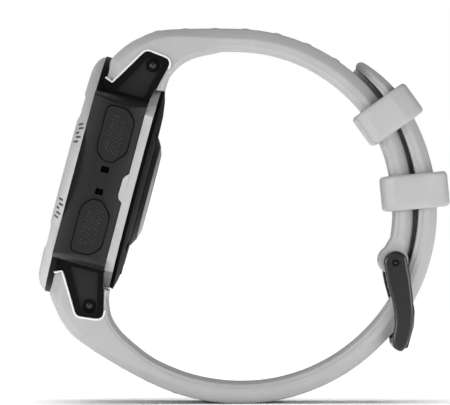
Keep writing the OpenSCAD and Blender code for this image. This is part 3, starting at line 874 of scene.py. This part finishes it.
def grip_pad(name, x, length, side):
    """A slanted pad of small diamonds in the middle of a button cap."""
    lean = 0 if x == 0 else 0.5 * (1 if x > 0 else -1)
    hl, hh = length / 2, GRIP_HALF_W
    outline = rounded([(-hl + lean, hh), (hl + lean, hh), (hl - lean, -hh), (-hl - lean, -hh)], 0.7)
    verts, faces = [], []

    def stud(u, v):
        at = len(verts)
        for size, y in ((STUD_HALF, STUD_FOOT), (STUD_HALF * 0.35, STUD_TOP)):
            for du, dv in ((size, 0), (0, size), (-size, 0), (0, -size)):
                verts.append((x + u + du, side * (BUTTON_FACE + y), BUTTON_Z + v + dv))
        faces.append((at + 4, at + 5, at + 6, at + 7))
        faces.append((at + 3, at + 2, at + 1, at))
        for k in range(4):
            m = (k + 1) % 4
            faces.append((at + k, at + m, at + 4 + m, at + 4 + k))

    inner = grown(outline, -STUD_HALF)
    for row in range(-10, 11):
        for col in range(-12, 13):
            u = (col + (row % 2) / 2) * STUD_PITCH
            v = row * STUD_PITCH / 2
            if inside(inner, Vector((u, v))):
                stud(u, v)
    return new_object(name, verts, faces, CASE)


def bar_outline(u, v, length, width, upright_bar):
    """A bar of a number, u to the right and v up on the display."""
    a, b = length / 2, width / 2
    line = [(-a, 0), (-a + b, b), (a - b, b), (a, 0), (a - b, -b), (-a + b, -b)]
    pts = [(q, p) if upright_bar else (p, q) for p, q in line]
    return [Vector((v + q, -(u + p))) for p, q in pts]


SEGMENTS = {
    "0": "abcdef", "1": "bc", "2": "abged", "3": "abgcd", "4": "fgbc", "5": "afgcd",
    "6": "afgedc", "7": "abc", "8": "abcdefg", "9": "abfgcd",
}


def number(text, u, v, w, h, t):
    """Outlines of a number's bars, centred on (u, v)."""
    pitch = w + t * 1.6
    u0 = u - pitch * (len(text) - 1) / 2
    out = []
    for k, digit in enumerate(text):
        c = u0 + pitch * k
        bars = {
            "a": (c, v + h / 2, w, False), "g": (c, v, w, False), "d": (c, v - h / 2, w, False),
            "b": (c + w / 2, v + h / 4, h / 2, True), "c": (c + w / 2, v - h / 4, h / 2, True),
            "f": (c - w / 2, v + h / 4, h / 2, True), "e": (c - w / 2, v - h / 4, h / 2, True),
        }
        for s in SEGMENTS[digit]:
            bu, bv, length, stands = bars[s]
            out.append(bar_outline(bu, bv, length * 0.94, t, stands))
    return out


def box_outline(u, v, w, h):
    """An upright rectangle, u to the right and v up on the display."""
    return [Vector((v + b * h / 2, -(u + a * w / 2))) for a, b in
            ((-1, -1), (1, -1), (1, 1), (-1, 1))]


def ray(angle, r0, r1, w):
    """A tick that points away from the middle; angle 0 is 12 o'clock, turning to the right."""
    a = math.radians(angle)
    out, side = Vector((math.cos(a), -math.sin(a))), Vector((math.sin(a), math.cos(a)))
    return [out * r0 - side * w, out * r1 - side * w, out * r1 + side * w, out * r0 + side * w]


def display_pieces():
    """Made-up figures on the display, a gauge on the small one and ticks on the dial."""
    time = number(*HOUR) + number(*MINUTE)
    dots = [box_outline(0.55, v, 0.7, 0.7) for v in (0.6, -1.8)]
    level = [box_outline(-4.2 + 1.3 * k, -6.3, 0.95, 0.5 + 0.28 * k) for k in range(7)]
    rule = [box_outline(0, -4.8, 15, 0.22), box_outline(-3.2, 4.3, 7.6, 0.22)]
    date = number(*DATE)
    ink = plates("display_ink", time + dots + level + rule + date, *INK_LEVELS, CASE)
    dress(ink, INK, "watch")
    at = Matrix.Translation(Vector((SUB_AT[0], SUB_AT[1], 0)) * MM)
    gauge = [ray(a, *GAUGE_TICK) for a in range(0, 271, 15)]
    sub = plates("sub_ink", number(*GAUGE) + gauge, *INK_LEVELS, CASE @ at)
    dress(sub, INK, "watch")
    ticks = []
    for k in range(60):
        tick = ray(k * 6, *(TICK if k % 5 else WIDE_TICK))
        middle = (tick[0] + tick[2]) / 2
        if (middle - Vector(SUB_AT)).length > TICKS_OFF_SUB:
            ticks.append(tick)
    scale = plates("dial_ticks", ticks, *INK_LEVELS, CASE)
    dress(scale, LIGHT_INK, "watch")


def bezel_marks():
    """A small generic sign on the bezel's shoulder beside each button."""
    profile = [Vector(p) for p in SHOULDER]

    def stroke(a0, a1, s0, s1):
        verts, faces = [], []
        for i in range(5):
            a = math.radians(a0 + (a1 - a0) * i / 4)
            for k in range(4):
                s = (s0 + (s1 - s0) * k / 3) * (len(profile) - 1)
                j = min(int(s), len(profile) - 2)
                p = profile[j].lerp(profile[j + 1], s - j)
                for lift in (-0.03, 0.035):
                    r, z = p.x + lift * 0.7, p.y + lift * 0.7
                    verts.append((r * math.cos(a), r * math.sin(a), z))
        n = 8
        for i in range(4):
            for k in range(3):
                a, b = i * n + 2 * k, (i + 1) * n + 2 * k
                faces.append((a + 1, a + 3, b + 3, b + 1))
                faces.append((a, b, b + 2, a + 2))
        for i in range(4):
            a, b = i * n, (i + 1) * n
            faces.append((a, a + 1, b + 1, b))
            faces.append((a + 6, b + 6, b + 7, a + 7))
        for k in range(3):
            a, b = 2 * k, 4 * n + 2 * k
            faces.append((a, a + 2, a + 3, a + 1))
            faces.append((b, b + 1, b + 3, b + 2))
        return verts, faces

    parts = []
    near = [(math.degrees(math.atan2(-SIGN_Y, x)), n) for x, n in NEAR_SIGNS]
    far = [(math.degrees(math.atan2(SIGN_Y, x)), n) for x, n in FAR_SIGNS]
    for centre, count in near + far:
        for k in range(count):
            a = centre + (k - (count - 1) / 2) * STROKE_TURN
            parts.append(stroke(a - STROKE_HALF, a + STROKE_HALF, *STROKES[k]))
    marks = new_object("bezel_marks", *joined(parts), CASE)
    dress(marks, MARK, "watch")


def domed_tips(name, centres, levels, count, place=None):
    """Small domed ends on both sides of the watch; a level is a distance out and a radius."""
    parts = []
    for x, z in centres:
        for side in (1, -1):
            parts.append(loft_data([[(p.x, side * y, p.y) for p in circle(x, z, r, count)]
                                    for y, r in levels]))
    tips = smooth(new_object(name, *joined(parts), place), 40)
    dress(tips, DARK_STEEL, "watch")


# The object

dress(upper_strap(), SILICONE, "watch")
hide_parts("upper_strap")
dress(lower_strap(), SILICONE, "watch")
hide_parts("lower_strap")
for count, (angle, inner_face) in enumerate(KEEPERS, 1):
    keeper = keeper_piece(f"loop_{count}_ring", angle, inner_face)
    dress(keeper, SILICONE, f"loop_{count}")
    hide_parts(f"keeper_{count}")
buckle = dress(buckle_frame(), BUCKLE_BLACK, "buckle")
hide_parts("buckle_frame")
tongue = dress(buckle_tongue(), BUCKLE_BLACK, "tongue")
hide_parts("buckle_tongue")

near_grips = [(x, NEAR_GRIP_LEN, -1) for x in NEAR_X]
far_grips = [(x, FAR_GRIP_LEN, 1) for x in FAR_X]
for letter, (x, length, side) in zip("abcde", near_grips + far_grips):
    dress_node(f"button_{letter}", CAP_BLACK, 0.22, 3)
    dress_node(f"seal_{letter}", RUBBER)
    dress_node(f"clip_{letter}", STEEL)
    pad = grip_pad(f"grip_{letter}", x, length, side)
    dress(pad, GRIP, f"push_{letter}")

display_pieces()
bezel_marks()
domed_tips("lug_tips", [(end * LUG_PIN[0], LUG_PIN[1]) for end in (1, -1)], LUG_TIP, 24, CASE)
domed_tips("pin_tips", [PIN], PIN_TIP, 20)
# The bead round the lugs gets the near-white silicone, a painted highlight along the strap's edge
# there
dress(strap_lips(), LIP_PAINTED_HIGHLIGHT, "watch")

for name, mat, edge in (
        ("housing", HOUSING_BLACK, 0.14), ("bezel", BEZEL_GREY, 0.15), ("lens", GLASS, 0.1),
        ("lens_gasket", RUBBER, 0), ("display_panel", PANEL, 0), ("dial_ring", RING_BLACK, 0.05),
        ("sub_display", PANEL, 0), ("sub_ring", STEEL, 0.05), ("inner_frame", INNER, 0),
        ("antenna_ring", GOLD, 0), ("display_flex", FLEX, 0), ("main_board", BOARD, 0),
        ("board_parts", DARK_STEEL, 0), ("battery", FOIL, 0.2), ("battery_pad", RUBBER, 0),
        ("vibration_motor", STEEL, 0), ("side_switches", STEEL, 0), ("port_meshes", RIM_BLACK, 0),
        ("rear_frame", BEZEL_GREY, 0.12), ("back_cover", COVER_BLACK, 0.12),
        ("back_gasket", RUBBER, 0), ("back_screws", STEEL, 0.08), ("sensor_window", SMOKED, 0.25),
        ("sensor_board", BOARD, 0), ("sensor_leds", GOLD, 0.08), ("charge_port", COVER_BLACK, 0.1),
        ("charge_pins", GOLD, 0.08), ("lug_sleeves", STEEL, 0), ("lug_screws", RIM_BLACK, 0.08),
        ("buckle_pin", RIM_BLACK, 0.1)):
    dress_node(name, mat, edge)

def out_by(at):
    """How far a place is from the middle of the case."""
    return math.hypot(at.x, at.y)


def on_lug_face(at):
    return abs(at.y) > LUG_FACE_Y - 0.05 and abs(at.x) > LUG_FROM_X


def on_rim(at):
    return RIM_RING[0] < out_by(at) < RIM_RING[1] and at.z > RIM_FROM_Z


second_finish("housing", RIM_BLACK, lambda at: on_lug_face(at) or on_rim(at))
second_finish("sensor_window", DOME_EDGE,
              lambda at: DOME_EDGE_RING[0] < out_by(at) < DOME_EDGE_RING[1])
second_finish("sensor_window", RIM_BLACK,
              lambda at: DOME_EDGE_RING[1] < out_by(at) and at.z < CONE_BELOW_Z)

# Floor, light and camera

FLOOR_Z = CAD_BOX[0][2] / MM
FLOOR_R = 500
FLOOR_T = 3
SKY_LIGHT = 0.16
CAMERA_AT = (-0.0031, -1.1, 0.0021)
CAMERA_LENS = 532
STAGE = shader("pale_stage", grey(250), 0.7, spread=0.01, blotch=20, grain=900, bump=0.05)
stage = new_object("stage", *loft_data([
    [(r * math.cos(math.radians(a)), r * math.sin(math.radians(a)), z) for a in range(0, 360, 5)]
    for r, z in ((FLOOR_R, FLOOR_Z), (FLOOR_R, FLOOR_Z - FLOOR_T))]))
stage.data.materials.append(STAGE)


def area_light(name, at, size, power, only=None):
    """A soft box aimed at the watch. With only, it lights that one object."""
    lamp = bpy.data.lights.new(name, "AREA")
    lamp.shape = "RECTANGLE"
    lamp.size, lamp.size_y = size
    lamp.energy = power
    obj = bpy.data.objects.new(name, lamp)
    obj.location = at
    obj.rotation_euler = (Vector((0, 0, 0)) - Vector(at)).to_track_quat("-Z", "Y").to_euler()
    bpy.context.scene.collection.objects.link(obj)
    if only is not None:
        lit = bpy.data.collections.new(f"{name}_lit")
        lit.objects.link(only)
        obj.light_linking.receiver_collection = lit


# Places and sizes in metres, powers in watts
area_light("left", (-1.1, -0.9, 0.1), (0.9, 0.9), 11)
area_light("right", (1.1, -0.9, 0.1), (0.9, 0.9), 10.5)
area_light("top", (-0.7, -0.5, 1.2), (0.9, 0.9), 4.5)
area_light("rear", (0, 1.2, 0.5), (1.2, 0.9), 1.5)
area_light("over_stage", (0, 0, 1.2), (1.2, 1.2), 19, only=stage)

# White where the camera sees the background, and a dimmer white as light
world = bpy.data.worlds.new("studio")
bpy.context.scene.world = world
world.use_nodes = True
sky = world.node_tree
dim, out = sky.nodes["Background"], sky.nodes["World Output"]
dim.inputs["Color"].default_value = (1, 1, 1, 1)
dim.inputs["Strength"].default_value = SKY_LIGHT
bright = sky.nodes.new("ShaderNodeBackground")
bright.inputs["Color"].default_value = (1, 1, 1, 1)
eye = sky.nodes.new("ShaderNodeLightPath")
either = sky.nodes.new("ShaderNodeMixShader")
sky.links.new(eye.outputs["Is Camera Ray"], either.inputs["Fac"])
sky.links.new(dim.outputs["Background"], either.inputs[1])
sky.links.new(bright.outputs["Background"], either.inputs[2])
sky.links.new(either.outputs["Shader"], out.inputs["Surface"])
bpy.context.scene.view_settings.view_transform = "Standard"

camera_data = bpy.data.cameras.new("camera")
camera_data.sensor_width = 36
camera_data.lens = CAMERA_LENS
camera_data.clip_end = 20
camera = bpy.data.objects.new("camera", camera_data)
camera.location = CAMERA_AT
camera.rotation_euler = (math.radians(90), 0, 0)
bpy.context.scene.collection.objects.link(camera)
bpy.context.scene.camera = camera
